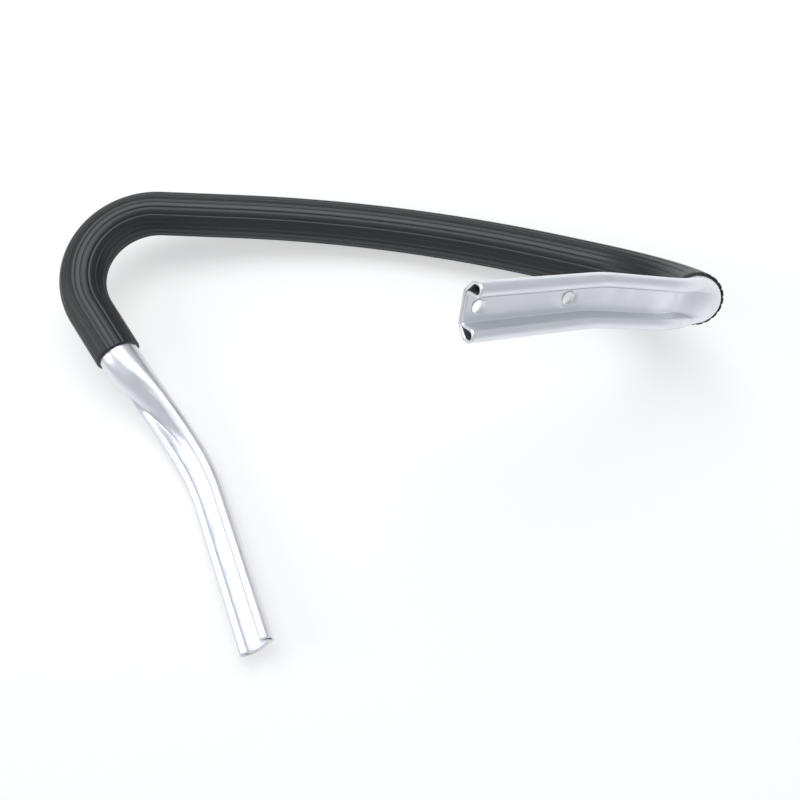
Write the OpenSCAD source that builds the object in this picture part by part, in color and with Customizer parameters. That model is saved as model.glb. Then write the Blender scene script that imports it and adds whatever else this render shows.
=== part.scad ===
// Front handle of a chainsaw: one bent aluminium tube with press-formed ends
// and a ribbed grip sleeve on its round stretch.
// It lies as it comes to rest, on the long grip and on the knee of the left leg.
// Millimetres, +Z up, origin at the middle of the bottom of its box.

/* [Tube] */
// Outside diameter of the round tube
tube_od = 25; // [23:0.5:30]
// Wall of the tube
tube_wall = 1.2; // [0.8:0.1:1.5]

/* [Left leg] */
// Straight length from the left tip to the knee
left_tip_len = 92.5; // [60:0.5:140]
// Angle of the left knee
left_knee_angle = 17.5; // [5:0.5:35]
// Centre-line radius of the left knee
left_knee_radius = 110; // [80:5:160]
// Straight length from the left knee to the left bend
left_leg_len = 112.5; // [90:0.5:150]
// Turn of the tube in the bender before the left bend
left_roll = 133; // [100:1:160]
// Angle of the left bend
left_bend_angle = 125.5; // [90:0.5:140]
// Centre-line radius of the left bend
left_bend_radius = 46; // [40:1:70]

/* [Grip bar] */
// Straight length at the left of the bar
bar_left_len = 47.5; // [20:0.5:90]
// Turn of the tube before the bow of the bar
bow_roll = -41; // [-70:1:0]
// Angle of the bow
bow_angle = 28; // [10:0.5:40]
// Centre-line radius of the bow
bow_radius = 450; // [300:10:700]
// Straight length at the right of the bar
bar_right_len = 22; // [5:1:60]

/* [Right leg] */
// Turn of the tube before the right bend
right_roll = -16; // [-40:1:10]
// Angle of the right bend
right_bend_angle = 123; // [90:1:140]
// Centre-line radius of the right bend
right_bend_radius = 69; // [45:1:90]
// Straight length from the right bend to the right knee
right_leg_len = 35.5; // [20:0.5:90]
// Turn of the tube before the right knee
right_knee_roll = 95.5; // [60:0.5:130]
// Angle of the right knee
right_knee_angle = 6.5; // [3:0.5:25]
// Centre-line radius of the right knee
right_knee_radius = 120; // [80:5:160]
// Straight length from the right knee to the right tip
right_tip_len = 63.5; // [60:0.5:110]

/* [Pressed ends] */
// Half of the flat of the web where the two walls meet
web_half = 6.3; // [5.5:0.1:7]
// Space left between the two walls of the web
web_gap = 0.3; // [0.2:0.1:0.5]
// Half width of the section at its middle line
press_half = 12.4; // [11.5:0.1:13]
// Angle of the flanks that rise from the web
flank_angle = 42; // [35:1:50]
// Middle-line radius between web and flank
flank_root_radius = 2.5; // [2:0.1:3]
// Middle-line radius between flank and lobe
flank_top_radius = 3.4; // [2.5:0.1:4]
// Middle-line radius of the round top of a lobe
lobe_radius = 2.6; // [2.2:0.1:3]
// Middle-line radius of the channel's floor corners
floor_radius = 1.4; // [1:0.1:1.8]
// Turn of the left channel's opening from the inside of its knee
left_channel_turn = 1; // [-30:1:30]
// Turn of the right channel's opening from the inside of its knee
right_channel_turn = 78.5; // [50:0.5:110]
// Length over which the left channel runs out into the round tube
left_runout = 72; // [40:1:90]
// Length over which the right channel runs out into the round tube
right_runout = 35; // [25:1:50]

/* [Screw holes] */
// Diameter of the two holes through the right web
hole_d = 6.4; // [4.5:0.1:8]
// Middle of the first hole from the right tip
hole_inset = 7; // [6:0.5:12]
// Distance between the two holes
hole_pitch = 50; // [30:1:60]

/* [Grip sleeve] */
// Bare length of the left leg, from the tip to the sleeve
left_bare = 204; // [180:1:230]
// Bare length of the right leg, from the tip to the sleeve
right_bare = 175; // [150:1:210]
// Thickness of the sleeve at the top of a rib
sleeve_wall = 1.7; // [1.4:0.1:3]
// Radial clearance of the sleeve on the tube
sleeve_clear = 0.1; // [0.05:0.05:0.2]
// Depth of the grooves between the ribs
rib_depth = 0.5; // [0.2:0.1:0.8]
// Share of the rib's pitch that the flat top takes
rib_land = 0.6; // [0.4:0.05:0.75]
// Number of ribs
rib_count = 20; // [12:2:24]

/* [Resting position] */
// First turn that lays the bent tube down, about X
lay_x = 97.97; // [-180:0.01:180]
// Second turn that lays it down, about Y
lay_y = -53.77; // [-180:0.01:180]
// Last turn, about Z, which sets the grip along X
lay_z = -152.2; // [-180:0.1:180]

/* [Hidden] */
$fn = 48;

// Facet sizes: how far a chord may leave the bends under the sleeve and in the open, the steps
// along the run-outs, and the steps round the section.
COVERED_SAG = 0.45;
BARE_SAG = 0.08;
RUNOUT_STEP = 7.6;
SECTION_STEP = 2.35;
SECTION_TURN = 36;

// The centre line as a tube bender sets it: straight length, absolute turn, radius, angle.
TURN_1 = -left_channel_turn;
TURN_2 = TURN_1 + left_roll;
TURN_3 = TURN_2 + bow_roll;
TURN_4 = TURN_3 + right_roll;
TURN_5 = TURN_4 + right_knee_roll;
BENDS = [
  [left_tip_len, TURN_1, left_knee_radius, left_knee_angle],
  [left_leg_len, TURN_2, left_bend_radius, left_bend_angle],
  [bar_left_len, TURN_3, bow_radius, bow_angle],
  [bar_right_len, TURN_4, right_bend_radius, right_bend_angle],
  [right_leg_len, TURN_5, right_knee_radius, right_knee_angle],
];
RIGHT_CHANNEL = TURN_5 + right_channel_turn - 360;

function arc_len(b) = b[2] * b[3] * PI / 180;
function bends_len(i) = i < 0 ? 0 : BENDS[i][0] + arc_len(BENDS[i]) + bends_len(i - 1);
TUBE_LEN = bends_len(len(BENDS) - 1) + right_tip_len;
SLEEVE_START = left_bare;
SLEEVE_END = TUBE_LEN - right_bare;

// A frame is a point, the tube's direction and the direction of turn zero.
function side(f) = cross(f[1], f[2]);
function aim(f, turn) = f[2] * cos(turn) + side(f) * sin(turn);
function advance(f, s) = [f[0] + f[1] * s, f[1], f[2]];
function spin(v, k, a) = v * cos(a) + cross(k, v) * sin(a) + k * (k * v) * (1 - cos(a));
function curve(f, turn, r, a) =
  let (d = aim(f, turn), k = cross(f[1], d))
  [f[0] + d * r * (1 - cos(a)) + f[1] * r * sin(a), spin(f[1], k, a), spin(f[2], k, a)];

// The frame at a length s along the centre line.
function frame_at(s, f = [[0, 0, 0], [0, 0, 1], [1, 0, 0]], i = 0) =
  i == len(BENDS) || s <= BENDS[i][0] ? advance(f, s) :
  let (b = BENDS[i], g = advance(f, b[0]), rest = s - b[0], arc = arc_len(b))
  rest < arc ? curve(g, b[1], b[2], rest / b[2] * 180 / PI)
             : frame_at(rest - arc, curve(g, b[1], b[2], b[3]), i + 1);

// Where the section has to be redrawn: ends of straights and arcs, of run-outs and of the sleeve.
function sorted(v) =
  len(v) < 2 ? v :
  let (p = v[0], rest = [for (i = [1 : len(v) - 1]) v[i]])
  concat(sorted([for (x = rest) if (x < p) x]), [p], sorted([for (x = rest) if (x >= p) x]));
function bend_at(s, i = 0) =
  i == len(BENDS) ? [] :
  s > bends_len(i - 1) + BENDS[i][0] && s < bends_len(i) ? BENDS[i] : bend_at(s, i + 1);
function pieces(s0, s1) =
  let (
    mid = (s0 + s1) / 2,
    b = bend_at(mid),
    sag = mid < SLEEVE_START || mid > SLEEVE_END ? BARE_SAG : COVERED_SAG,
    chords = len(b) == 0 ? 1 : ceil((s1 - s0) / b[2] * 90 / PI / acos(1 - sag / b[2]) - 0.01),
    forming = press_share(mid) > 0 && press_share(mid) < 1
  )
  max(1, chords, forming ? ceil((s1 - s0) / RUNOUT_STEP) : 1);
MARKS = sorted(concat(
  [0, TUBE_LEN, SLEEVE_START, SLEEVE_END, SLEEVE_START - left_runout, SLEEVE_END + right_runout],
  [for (i = [0 : len(BENDS) - 1]) each [bends_len(i - 1) + BENDS[i][0], bends_len(i)]]
));
STATIONS = [
  for (i = [0 : len(MARKS) - 2])
    if (MARKS[i + 1] - MARKS[i] > 0.01)
      let (n = pieces(MARKS[i], MARKS[i + 1]))
        for (k = [0 : n - 1]) MARKS[i] + (MARKS[i + 1] - MARKS[i]) * k / n,
  TUBE_LEN
];
SLEEVE_STATIONS = [for (s = STATIONS) if (s > SLEEVE_START - 0.01 && s < SLEEVE_END + 0.01) s];

// How far the pressing has gone at a length s: 0 is round, 1 is the full channel.
function ease(x) = let (c = min(max(x, 0), 1)) c * c * (3 - 2 * c);
function press_share(s) =
  s < TUBE_LEN / 2 ? ease((SLEEVE_START - s) / left_runout) : ease((s - SLEEVE_END) / right_runout);

// Half of the pressed section's middle line, from the middle of the back to the middle of the
// channel's floor, as lengths and turns. Its length stays that of the round tube, so the straight
// parts of the lobes take up what is left.
MID_R = (tube_od - tube_wall) / 2;
HALF_LEN = PI * MID_R;
WEB_MID = (tube_wall + web_gap) / 2;
FLANK_LEN = (press_half - web_half - flank_root_radius * sin(flank_angle)
  - flank_top_radius * (1 - sin(flank_angle))) / cos(flank_angle);
FLANK_TOP = -WEB_MID + flank_root_radius * (1 - cos(flank_angle)) + FLANK_LEN * sin(flank_angle)
  + flank_top_radius * cos(flank_angle);
FLOOR_LEN = press_half - 2 * lobe_radius - floor_radius;
WALL_LEN = FLANK_TOP - WEB_MID - floor_radius;
BENT_LEN = web_half + FLANK_LEN + WALL_LEN + FLOOR_LEN
  + (flank_root_radius * flank_angle + flank_top_radius * (90 - flank_angle)
  + lobe_radius * 180 + floor_radius * 90) * PI / 180;
LOBE_RISE = (HALF_LEN - BENT_LEN) / 2;
PROFILE = [
  [web_half, 0],
  [flank_root_radius * flank_angle * PI / 180, flank_angle],
  [FLANK_LEN, 0],
  [flank_top_radius * (90 - flank_angle) * PI / 180, 90 - flank_angle],
  [LOBE_RISE, 0],
  [lobe_radius * PI, 180],
  [WALL_LEN + LOBE_RISE, 0],
  [floor_radius * PI / 2, -90],
  [FLOOR_LEN, 0],
];

// Point and heading after a length u along the half profile.
function step_on(p, l, turn) =
  turn == 0 ? [p[0] + l * cos(p[2]), p[1] + l * sin(p[2]), p[2]] :
  let (r = l / turn * 180 / PI, h = p[2] + turn)
  [p[0] + r * (sin(h) - sin(p[2])), p[1] - r * (cos(h) - cos(p[2])), h];
function pressed_at(u, p = [0, -WEB_MID, 0], i = 0) =
  let (l = PROFILE[i][0], turn = PROFILE[i][1])
  u <= l || i == len(PROFILE) - 1 ? step_on(p, u, turn * u / l)
                                  : pressed_at(u - l, step_on(p, l, turn), i + 1);
function round_at(u) =
  let (h = u / MID_R * 180 / PI)
  [MID_R * sin(h), -MID_R * cos(h), h];

// Lengths along the half profile at which the section has its points.
function profile_len(i) = i < 0 ? 0 : PROFILE[i][0] + profile_len(i - 1);
HALF_SPOTS = [
  for (i = [0 : len(PROFILE) - 1])
    let (n = max(1, ceil(PROFILE[i][0] / SECTION_STEP), ceil(abs(PROFILE[i][1]) / SECTION_TURN)))
      for (k = [0 : n - 1]) profile_len(i - 1) + PROFILE[i][0] * k / n,
  HALF_LEN
];
ROUND_HALF = [for (u = HALF_SPOTS) round_at(u)];
PRESSED_HALF = [for (u = HALF_SPOTS) pressed_at(u)];

// The back wall stays on its line, so the web lies at the back of the round tube.
WEB_DROP = [0, -tube_od / 2 + tube_wall + web_gap / 2];
function outward(h) = [sin(h), -cos(h)];
function blend_half(share, off) = [
  for (i = [0 : len(HALF_SPOTS) - 1])
    let (
      r = ROUND_HALF[i],
      q = PRESSED_HALF[i],
      n = outward(r[2]) * (1 - share) + outward(q[2]) * share
    )
    [r[0], r[1]] * (1 - share) + ([q[0], q[1]] + WEB_DROP) * share + n / norm(n) * off
];
function full_ring(half) =
  concat(half, [for (i = [len(half) - 2 : -1 : 1]) [-half[i][0], half[i][1]]]);

// A flat ring set on the centre line. Its second coordinate looks the way the channel opens.
function place_ring(ring, s, turn) =
  let (f = frame_at(s), up = aim(f, turn), across = cross(f[1], up))
  [for (q = ring) f[0] + across * q[0] + up * q[1]];

// Rings joined into one hollow skin. The inner rings hold one point for each "ratio" outer ones.
function flat(rings) = [for (r = rings) each r];
function band(start, n, k, outer) = [
  for (i = [0 : n - 1])
    let (
      a = start + k * n + i,
      b = start + k * n + (i + 1) % n,
      faces = [[a + n, a, b], [a + n, b, b + n]]
    )
    each outer ? faces : [for (f = faces) [f[2], f[1], f[0]]]
];
function cap(n_out, n_in, start_out, start_in, turned) =
  let (ratio = n_out / n_in)
  [for (k = [0 : n_in - 1])
    let (
      rim = [for (i = [0 : ratio]) start_out + (k * ratio + i) % n_out],
      hole = [start_in + (k + 1) % n_in, start_in + k],
      face = concat(rim, hole)
    )
    turned ? [for (i = [len(face) - 1 : -1 : 0]) face[i]] : face
  ];
function hollow_faces(n_out, n_in, count) =
  let (base = n_out * count)
  concat(
    [for (k = [0 : count - 2]) each band(0, n_out, k, true)],
    [for (k = [0 : count - 2]) each band(base, n_in, k, false)],
    cap(n_out, n_in, 0, base, true),
    cap(n_out, n_in, n_out * (count - 1), base + n_in * (count - 1), false)
  );

// The two skins of the tube. Both channels are measured from the turn of their own end.
function tube_turn(s) = s < SLEEVE_START ? 0 : s > SLEEVE_END ? RIGHT_CHANNEL
  : RIGHT_CHANNEL * (s - SLEEVE_START) / (SLEEVE_END - SLEEVE_START);
function tube_rings(off) =
  [for (s = STATIONS) place_ring(full_ring(blend_half(press_share(s), off)), s, tube_turn(s))];
TUBE_POINTS = concat(flat(tube_rings(tube_wall / 2)), flat(tube_rings(-tube_wall / 2)));
RING_N = 2 * (len(HALF_SPOTS) - 1);

// The ribbed ring of the sleeve: two corners on each rib and one in each groove.
SLEEVE_R = tube_od / 2 + sleeve_clear + sleeve_wall;
RIB_PITCH = 360 / rib_count;
BORE_N = rib_count * 3 / 2;
BORE_R = (tube_od / 2 + sleeve_clear) / cos(180 / BORE_N);
function polar(r, a) = [r * cos(a), r * sin(a)];
RIB_RING = [
  for (k = [0 : rib_count - 1])
    each [
      polar(SLEEVE_R, (k - rib_land / 2) * RIB_PITCH),
      polar(SLEEVE_R, (k + rib_land / 2) * RIB_PITCH),
      polar(SLEEVE_R - rib_depth, (k + 0.5) * RIB_PITCH)
    ]
];
BORE_RING = [for (k = [0 : BORE_N - 1]) polar(BORE_R, k * 360 / BORE_N)];
SLEEVE_POINTS = concat(
  flat([for (s = SLEEVE_STATIONS) place_ring(RIB_RING, s, 0)]),
  flat([for (s = SLEEVE_STATIONS) place_ring(BORE_RING, s, 0)])
);

// Laying down: the turns bring the resting plane level, then the box is centred on the origin.
function about_x(p, a) = [p[0], p[1] * cos(a) - p[2] * sin(a), p[1] * sin(a) + p[2] * cos(a)];
function about_y(p, a) = [p[0] * cos(a) + p[2] * sin(a), p[1], p[2] * cos(a) - p[0] * sin(a)];
function about_z(p, a) = [p[0] * cos(a) - p[1] * sin(a), p[0] * sin(a) + p[1] * cos(a), p[2]];
LAID = [
  for (p = concat(TUBE_POINTS, SLEEVE_POINTS))
    about_z(about_y(about_x(p, lay_x), lay_y), lay_z)
];
function low(axis) = min([for (p = LAID) p[axis]]);
function high(axis) = max([for (p = LAID) p[axis]]);
module laid() {
  translate([-(low(0) + high(0)) / 2, -(low(1) + high(1)) / 2, -low(2)])
    rotate([lay_x, lay_y, lay_z])
      children();
}

// A screw hole square through both walls of the right web.
module web_hole(from_tip) {
  f = frame_at(TUBE_LEN - from_tip);
  up = aim(f, RIGHT_CHANNEL);
  across = cross(f[1], up);
  at = f[0] + up * WEB_DROP[1];
  multmatrix([
    [across[0], f[1][0], up[0], at[0]],
    [across[1], f[1][1], up[1], at[1]],
    [across[2], f[1][2], up[2], at[2]]
  ])
    cylinder(d = hole_d, h = 4 * tube_wall + 2 * web_gap, center = true);
}

module handle_tube() {
  color("silver") laid() difference() {
    polyhedron(TUBE_POINTS, hollow_faces(RING_N, RING_N, len(STATIONS)), convexity = 10);
    web_hole(hole_inset);
    web_hole(hole_inset + hole_pitch);
  }
}

module grip_sleeve() {
  color("dimgray") laid()
    polyhedron(SLEEVE_POINTS, hollow_faces(len(RIB_RING), BORE_N, len(SLEEVE_STATIONS)), convexity = 10);
}

handle_tube();
grip_sleeve();
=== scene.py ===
from math import acos, asin, ceil, cos, degrees, exp, pi, radians, sin, sqrt

import bmesh
import bpy
from mathutils import Euler, Matrix, Vector


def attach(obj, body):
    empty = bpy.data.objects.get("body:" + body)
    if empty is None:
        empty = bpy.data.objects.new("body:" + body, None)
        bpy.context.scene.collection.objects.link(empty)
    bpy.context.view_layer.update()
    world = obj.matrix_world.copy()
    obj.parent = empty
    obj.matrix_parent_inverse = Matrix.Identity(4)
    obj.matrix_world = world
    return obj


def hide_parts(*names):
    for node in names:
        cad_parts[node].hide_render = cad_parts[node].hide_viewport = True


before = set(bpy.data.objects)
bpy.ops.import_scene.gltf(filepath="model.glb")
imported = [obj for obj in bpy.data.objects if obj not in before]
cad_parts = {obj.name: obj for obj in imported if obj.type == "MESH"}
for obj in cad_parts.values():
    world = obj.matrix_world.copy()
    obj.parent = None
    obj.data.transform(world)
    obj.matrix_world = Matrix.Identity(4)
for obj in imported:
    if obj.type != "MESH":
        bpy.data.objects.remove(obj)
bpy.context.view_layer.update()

# A chainsaw's front handle: a bent tube with press-formed ends and a ribbed sleeve.
# Every size below is in millimetres and follows the CAD model; meshes are made in metres.
MM = 0.001

# The tube as a bender sets it: straight, turn about the tube, centre-line radius, angle.
BENDS = [
    (92.5, -1.0, 110.0, 17.5),
    (112.5, 132.0, 46.0, 125.5),
    (47.5, 91.0, 450.0, 28.0),
    (22.0, 75.0, 69.0, 123.0),
    (35.5, 170.5, 120.0, 6.5),
]
RIGHT_TIP = 63.5
RIGHT_CHANNEL = 249.0 - 360.0
TUBE_OD = 25.0
WALL = 1.2
LEFT_BARE = 204.0
RIGHT_BARE = 175.0
LEFT_RUNOUT = 72.0
RIGHT_RUNOUT = 35.0
HOLE_R = 3.2
HOLES = (7.0, 57.0)
SLEEVE_R = 14.3
BORE_R = 12.62
RIBS = 20

# How the bent tube lies on the table.
LAY_TURN = Euler((radians(97.97), radians(-53.77), radians(-152.2)), "XYZ").to_matrix()
LAY_SHIFT = Vector((-23.1815, -142.238, 22.4139))


def bend_length(bend):
    return bend[2] * radians(bend[3])


TUBE_LEN = sum(bend[0] + bend_length(bend) for bend in BENDS) + RIGHT_TIP
SLEEVE_START = LEFT_BARE
SLEEVE_END = TUBE_LEN - RIGHT_BARE


class Stretch:
    """A point on the tube's centre line with the tube's direction and its turn-zero side."""

    def __init__(self, point, along, zero):
        self.point, self.along, self.zero = point, along, zero

    def side(self, turn):
        across = self.along.cross(self.zero)
        return self.zero * cos(radians(turn)) + across * sin(radians(turn))

    def straight(self, length):
        return Stretch(self.point + self.along * length, self.along, self.zero)

    def bent(self, turn, radius, angle):
        inward = self.side(turn)
        hinge = self.along.cross(inward)
        spin = Matrix.Rotation(angle, 3, hinge)
        point = self.point + inward * radius * (1 - cos(angle)) + self.along * radius * sin(angle)
        return Stretch(point, spin @ self.along, spin @ self.zero)


def centre_line(s):
    at = Stretch(Vector((0, 0, 0)), Vector((0, 0, 1)), Vector((1, 0, 0)))
    for straight, turn, radius, angle in BENDS:
        if s <= straight:
            return at.straight(s)
        at = at.straight(straight)
        s -= straight
        arc = radius * radians(angle)
        if s <= arc:
            return at.bent(turn, radius, s / radius)
        at = at.bent(turn, radius, radians(angle))
        s -= arc
    return at.straight(s)


def lay(point):
    """From the bender's frame to the table, in metres."""
    return (LAY_TURN @ point + LAY_SHIFT) * MM


def ease(x):
    x = min(max(x, 0.0), 1.0)
    return x * x * (3 - 2 * x)


# Half of the pressed section's middle line from the back to the channel's floor.
MID_R = (TUBE_OD - WALL) / 2
WEB_HALF = 6.3
WEB_MID = (WALL + 0.3) / 2
PRESS_HALF = 12.4
FLANK = radians(42)
ROOT_R, TOP_R, LOBE_R, FLOOR_R = 2.5, 3.4, 2.6, 1.4
FLANK_LEN = (PRESS_HALF - WEB_HALF - ROOT_R * sin(FLANK) - TOP_R * (1 - sin(FLANK))) / cos(FLANK)
FLANK_TOP = -WEB_MID + ROOT_R * (1 - cos(FLANK)) + FLANK_LEN * sin(FLANK) + TOP_R * cos(FLANK)
FLOOR_LEN = PRESS_HALF - 2 * LOBE_R - FLOOR_R
WALL_LEN = FLANK_TOP - WEB_MID - FLOOR_R
BENT_LEN = (WEB_HALF + FLANK_LEN + WALL_LEN + FLOOR_LEN
            + ROOT_R * FLANK + TOP_R * (pi / 2 - FLANK) + LOBE_R * pi + FLOOR_R * pi / 2)
LOBE_RISE = (pi * MID_R - BENT_LEN) / 2
# Each stretch of the half section: length, turn, and how many steps draw it.
PROFILE = [
    (WEB_HALF, 0, 5),
    (ROOT_R * FLANK, FLANK, 4),
    (FLANK_LEN, 0, 4),
    (TOP_R * (pi / 2 - FLANK), pi / 2 - FLANK, 5),
    (LOBE_RISE, 0, 1),
    (LOBE_R * pi, pi, 14),
    (WALL_LEN + LOBE_RISE, 0, 5),
    (FLOOR_R * pi / 2, -pi / 2, 6),
    (FLOOR_LEN, 0, 4),
]


def half_section():
    """Points of the half section, pressed and round, each with the direction it faces."""
    x, y, heading, run = 0.0, -WEB_MID, 0.0, 0.0
    pressed = [(x, y, heading, run)]
    for length, turn, steps in PROFILE:
        for step in range(steps):
            l, t = length / steps, turn / steps
            if turn:
                r = l / t
                x += r * (sin(heading + t) - sin(heading))
                y -= r * (cos(heading + t) - cos(heading))
                heading += t
            else:
                x += l * cos(heading)
                y += l * sin(heading)
            run += l
            pressed.append((x, y, heading, run))
    points = []
    for x, y, heading, run in pressed:
        angle = run / MID_R
        points.append((
            Vector((x, y - TUBE_OD / 2 + WALL + 0.15)), Vector((sin(heading), -cos(heading))),
            Vector((MID_R * sin(angle), -MID_R * cos(angle))), Vector((sin(angle), -cos(angle))),
            run))
    return points


HALF = half_section()
TUBE_RING = 2 * (len(HALF) - 1)


def pressing(s):
    if s < TUBE_LEN / 2:
        return ease((SLEEVE_START - s) / LEFT_RUNOUT)
    return ease((s - SLEEVE_END) / RIGHT_RUNOUT)


def tube_turn(s):
    share = (s - SLEEVE_START) / (SLEEVE_END - SLEEVE_START)
    return RIGHT_CHANNEL * min(max(share, 0.0), 1.0)


def tube_ring(s, off):
    """One ring of the tube's skin, off millimetres from the wall's middle."""
    share = pressing(s)
    at = centre_line(s)
    up = at.side(tube_turn(s))
    across = at.along.cross(up)
    ring = []
    for i in range(TUBE_RING):
        k = i if i < len(HALF) else TUBE_RING - i
        pressed, out_pressed, rounded, out_round, run = HALF[k]
        out = (out_round * (1 - share) + out_pressed * share).normalized()
        q = rounded * (1 - share) + pressed * share + out * off
        x = q.x if k == i else -q.x
        ring.append(lay(at.point + across * x + up * q.y))
    return ring


def along_steps(start, end, step):
    count = max(1, ceil((end - start) / step))
    return [start + (end - start) * k / count for k in range(count)]


def stations(spans):
    """Lengths along the tube from (end of span, step) pairs."""
    at, out = spans[0][0], []
    for end, step in spans[1:]:
        out += along_steps(at, end, step)
        at = end
    return out + [at]


# ---------------------------------------------------------------- meshes


def swept_wall(name, outer, inner, lengths, ring_run):
    """A closed wall: rings extruded along the outside, back along the inside and bridged.

    outer and inner give the rings' points at a length; the UV map holds the run round the
    ring and the length along the tube, both in metres.
    """
    mesh = bmesh.new()
    count = len(ring_run) - 1
    first = bmesh.ops.create_circle(mesh, cap_ends=False, segments=count, radius=1.0)["verts"]
    first.sort(key=lambda v: v.index)
    course = [(s, outer) for s in lengths] + [(s, inner) for s in reversed(lengths)]
    uv_at = {}
    ring = first
    rings = []
    for number, (s, skin) in enumerate(course):
        if number:
            edges = [mesh.edges.get((ring[i], ring[(i + 1) % count])) for i in range(count)]
            made = bmesh.ops.extrude_edge_only(mesh, edges=edges)["geom"]
            fresh = {g for g in made if isinstance(g, bmesh.types.BMVert)}
            ring = [next(e.other_vert(v) for e in v.link_edges if e.other_vert(v) in fresh)
                    for v in ring]
        for i, (v, place) in enumerate(zip(ring, skin(s))):
            v.co = place
            uv_at[v] = (i, s)
        rings.append(ring)
    ends = [mesh.edges.get((r[i], r[(i + 1) % count])) for r in (rings[0], rings[-1])
            for i in range(count)]
    bmesh.ops.bridge_loops(mesh, edges=ends)
    layer = mesh.loops.layers.uv.new("run_and_length")
    for face in mesh.faces:
        spots = [uv_at[loop.vert] for loop in face.loops]
        wraps = max(i for i, s in spots) - min(i for i, s in spots) > count / 2
        for loop, (i, s) in zip(face.loops, spots):
            loop[layer].uv = (ring_run[count if wraps and i == 0 else i] * MM, s * MM)
    bmesh.ops.recalc_face_normals(mesh, faces=mesh.faces)
    for face in mesh.faces:
        face.smooth = True
    return finished(name, mesh)


def finished(name, mesh):
    data = bpy.data.meshes.new(name)
    mesh.to_mesh(data)
    mesh.free()
    piece = bpy.data.objects.new(name, data)
    bpy.context.scene.collection.objects.link(piece)
    return piece


# ---------------------------------------------------------------- tube

tube_run = [HALF[i][4] if i < len(HALF) else 2 * HALF[-1][4] - HALF[TUBE_RING - i][4]
            for i in range(TUBE_RING + 1)]
tube_lengths = stations([
    (0, 0), (3, 1), (92.5, 5), (126.1, 2), (132, 2), (204, 2), (212, 4), (238.6, 9),
    (339.36, 2.4), (386.9, 12), (606.8, 12), (628.8, 11), (706, 3.5), (SLEEVE_END, 2),
    (SLEEVE_END + RIGHT_RUNOUT, 1.4), (776.9, 1.8), (812.4, 5), (826.0, 1.8),
    (TUBE_LEN - 3, 4), (TUBE_LEN, 1)])
tube = swept_wall(
    "front_handle_tube",
    lambda s: tube_ring(s, WALL / 2), lambda s: tube_ring(s, -WALL / 2),
    tube_lengths, tube_run)


def web_place(from_tip):
    """The middle of the right web, with the channel's opening direction and the tube's."""
    at = centre_line(TUBE_LEN - from_tip)
    up = at.side(RIGHT_CHANNEL)
    return at, up, at.along.cross(up)


def screw_hole(piece, from_tip):
    at, up, across = web_place(from_tip)
    middle = lay(at.point + up * (-TUBE_OD / 2 + WALL + 0.15))
    turn = Matrix((across, at.along, up)).transposed()
    drill = bmesh.new()
    bmesh.ops.create_cone(drill, cap_ends=True, segments=48,
                          radius1=HOLE_R * MM, radius2=HOLE_R * MM, depth=5.4 * MM)
    bmesh.ops.transform(drill, matrix=Matrix.Translation(middle) @ (LAY_TURN @ turn).to_4x4(),
                        verts=drill.verts)
    cutter = finished("drill", drill)
    cut = piece.modifiers.new("hole", "BOOLEAN")
    cut.operation, cut.solver, cut.object = "DIFFERENCE", "EXACT", cutter
    whole = piece.evaluated_get(bpy.context.evaluated_depsgraph_get())
    drilled = bpy.data.meshes.new_from_object(whole)
    piece.modifiers.clear()
    old = piece.data
    piece.data = drilled
    bpy.data.meshes.remove(old)
    bpy.data.objects.remove(cutter)


for from_tip in HOLES:
    screw_hole(tube, from_tip)
tube.data.name = "front_handle_tube"

# ---------------------------------------------------------------- sleeve

RIB_STEPS = 10
SLEEVE_RING = RIBS * RIB_STEPS


def rib_height(turn):
    """Height above the groove's bottom, 0 to 1, at a share of a rib's pitch."""
    x = abs((turn % 1.0) - 0.5) * 2
    return 1 - x ** 5


def sleeve_ring(s):
    at = centre_line(s)
    up = at.side(tube_turn(s))
    across = at.along.cross(up)
    ring = []
    for i in range(SLEEVE_RING):
        angle = 2 * pi * i / SLEEVE_RING
        r = SLEEVE_R - 0.55 * (1 - rib_height(i / RIB_STEPS))
        ring.append(lay(at.point + (at.zero * cos(angle) + at.along.cross(at.zero) * sin(angle)) * r))
    return ring


def bore_ring(s):
    at = centre_line(s)
    side = at.along.cross(at.zero)
    return [lay(at.point + (at.zero * cos(2 * pi * i / SLEEVE_RING)
                            + side * sin(2 * pi * i / SLEEVE_RING)) * BORE_R)
            for i in range(SLEEVE_RING)]


sleeve_lengths = stations([
    (SLEEVE_START, 0), (SLEEVE_START + 3, 1), (238.6, 4), (339.36, 1.7), (386.9, 6),
    (606.8, 7), (628.8, 6), (SLEEVE_END - 3, 2.6), (SLEEVE_END, 1)])
sleeve = swept_wall(
    "ribbed_grip_sleeve", sleeve_ring, bore_ring, sleeve_lengths,
    [2 * pi * SLEEVE_R * i / SLEEVE_RING for i in range(SLEEVE_RING + 1)])

# ---------------------------------------------------------------- materials


def linear(hex_code):
    """sRGB hex to the linear colour that shaders take."""
    parts = [int(hex_code[i:i + 2], 16) / 255 for i in (0, 2, 4)]
    return tuple(c / 12.92 if c <= 0.04045 else ((c + 0.055) / 1.055) ** 2.4
                 for c in parts) + (1.0,)


def add(tree, kind, settings=None, inputs=None):
    """A node with its settings, and its inputs set or linked."""
    node = tree.nodes.new(kind)
    for key, value in (settings or {}).items():
        setattr(node, key, value)
    for key, value in (inputs or {}).items():
        if isinstance(value, bpy.types.NodeSocket):
            tree.links.new(value, node.inputs[key])
        else:
            node.inputs[key].default_value = value
    return node


def new_material(name):
    material = bpy.data.materials.new(name)
    material.use_nodes = True
    material.node_tree.nodes.clear()
    return material, material.node_tree


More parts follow.
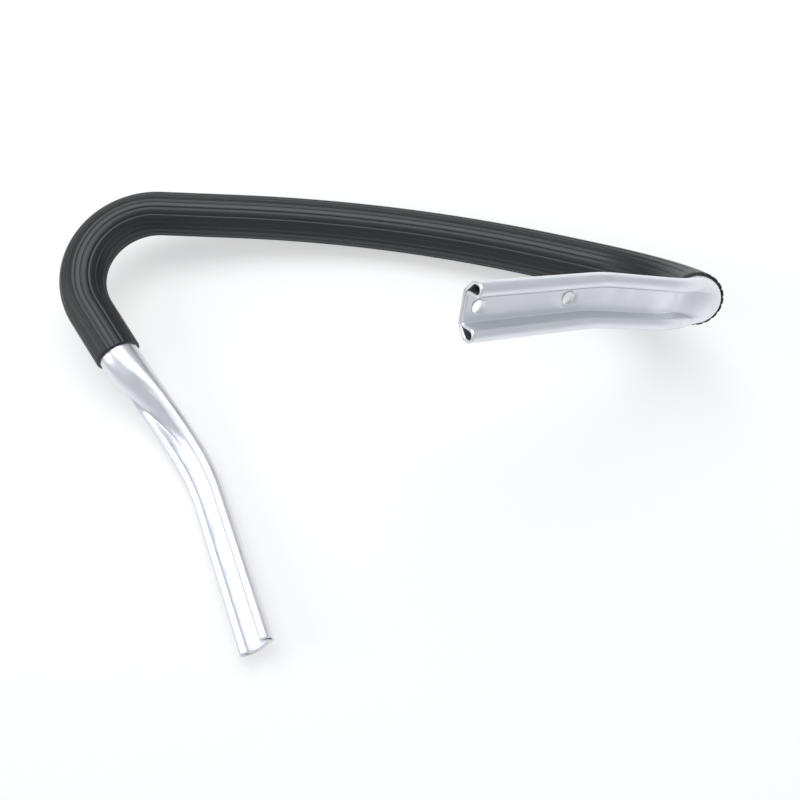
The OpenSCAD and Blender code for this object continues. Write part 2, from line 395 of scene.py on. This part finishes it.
def drawn_aluminium():
    """Mill-finish drawn aluminium tube."""
    material, tree = new_material("drawn_aluminium_mill_finish")
    spot = add(tree, "ShaderNodeUVMap", {"uv_map": "run_and_length"}).outputs["UV"]
    stretch = add(tree, "ShaderNodeMapping", {}, {"Vector": spot, "Scale": (900, 14, 1)})
    lines = add(tree, "ShaderNodeTexNoise", {}, {
        "Vector": stretch.outputs["Vector"], "Scale": 1.0, "Detail": 3.0})
    blotch = add(tree, "ShaderNodeTexNoise", {}, {
        "Vector": add(tree, "ShaderNodeTexCoord").outputs["Object"], "Scale": 90.0, "Detail": 4.0})
    rough = add(tree, "ShaderNodeMapRange", {}, {
        "Value": blotch.outputs["Fac"], "From Min": 0.3, "From Max": 0.7,
        "To Min": 0.30, "To Max": 0.46})
    bump = add(tree, "ShaderNodeBump", {}, {
        "Height": lines.outputs["Fac"], "Strength": 0.25, "Distance": 0.00006})
    metal = add(tree, "ShaderNodeBsdfPrincipled", {}, {
        "Base Color": linear("E6E8EC"), "Metallic": 1.0,
        "Roughness": rough.outputs["Result"], "Normal": bump.outputs["Normal"]})
    add(tree, "ShaderNodeOutputMaterial", {}, {"Surface": metal.outputs["BSDF"]})
    return material


def sleeve_pvc():
    """Black extruded soft PVC."""
    material, tree = new_material("black_extruded_pvc")
    grain = add(tree, "ShaderNodeTexNoise", {}, {
        "Vector": add(tree, "ShaderNodeTexCoord").outputs["Object"], "Scale": 700.0,
        "Detail": 3.0})
    bump = add(tree, "ShaderNodeBump", {}, {
        "Height": grain.outputs["Fac"], "Strength": 0.2, "Distance": 0.0001})
    skin = add(tree, "ShaderNodeBsdfPrincipled", {}, {
        "Base Color": linear("14161C"), "Roughness": 0.4, "Normal": bump.outputs["Normal"]})
    add(tree, "ShaderNodeOutputMaterial", {}, {"Surface": skin.outputs["BSDF"]})
    return material


tube.data.materials.clear()
tube.data.materials.append(drawn_aluminium())
sleeve.data.materials.append(sleeve_pvc())

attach(tube, "root")
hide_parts("handle_tube")
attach(sleeve, "root")
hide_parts("grip_sleeve")

# ---------------------------------------------------------------- studio

floor_mesh = bmesh.new()
bmesh.ops.create_grid(floor_mesh, x_segments=1, y_segments=1, size=6.0)
floor = finished("studio_floor", floor_mesh)


def studio_white():
    material, tree = new_material("white_studio_floor")
    rays = add(tree, "ShaderNodeLightPath")
    paint = add(tree, "ShaderNodeBsdfDiffuse", {}, {"Color": (0.9, 0.9, 0.9, 1)})
    glow = add(tree, "ShaderNodeEmission", {}, {
        "Color": (1, 1, 1, 1), "Strength": 1.0})
    share = add(tree, "ShaderNodeMath", {"operation": "MULTIPLY"}, {
        0: rays.outputs["Is Camera Ray"], 1: 0.5})
    mix = add(tree, "ShaderNodeMixShader", {}, {
        0: share.outputs[0], 1: paint.outputs[0], 2: glow.outputs[0]})
    add(tree, "ShaderNodeOutputMaterial", {}, {"Surface": mix.outputs[0]})
    return material


floor.data.materials.append(studio_white())

world = bpy.data.worlds.new("studio")
bpy.context.scene.world = world
world.use_nodes = True
world.node_tree.nodes["Background"].inputs["Color"].default_value = (0.93, 0.96, 1.0, 1)
world.node_tree.nodes["Background"].inputs["Strength"].default_value = 0.6


def soft_box(name, place, target, size, power):
    lamp = bpy.data.lights.new(name, "AREA")
    lamp.shape, lamp.size, lamp.size_y = "RECTANGLE", size[0], size[1]
    lamp.energy = power
    box = bpy.data.objects.new(name, lamp)
    box.location = place
    box.rotation_euler = (Vector(target) - Vector(place)).to_track_quat("-Z", "Y").to_euler()
    bpy.context.scene.collection.objects.link(box)
    return box


soft_box("top_box", (0.0, 0.5, 1.3), (0, 0.05, 0), (1.2, 0.8), 12)
soft_box("left_box", (-1.2, -0.3, 0.9), (0, 0, 0), (0.8, 0.8), 4)

camera_data = bpy.data.cameras.new("photo_camera")
camera_data.sensor_width = 36.0
camera_data.lens = 35.78
camera = bpy.data.objects.new("photo_camera", camera_data)
camera.location = (0.11786, -0.14321, 0.46309)
camera.rotation_euler = (radians(20.834), radians(7.119), radians(10.909))
bpy.context.scene.collection.objects.link(camera)
bpy.context.scene.camera = camera

view = bpy.context.scene.view_settings
view.view_transform = "Standard"
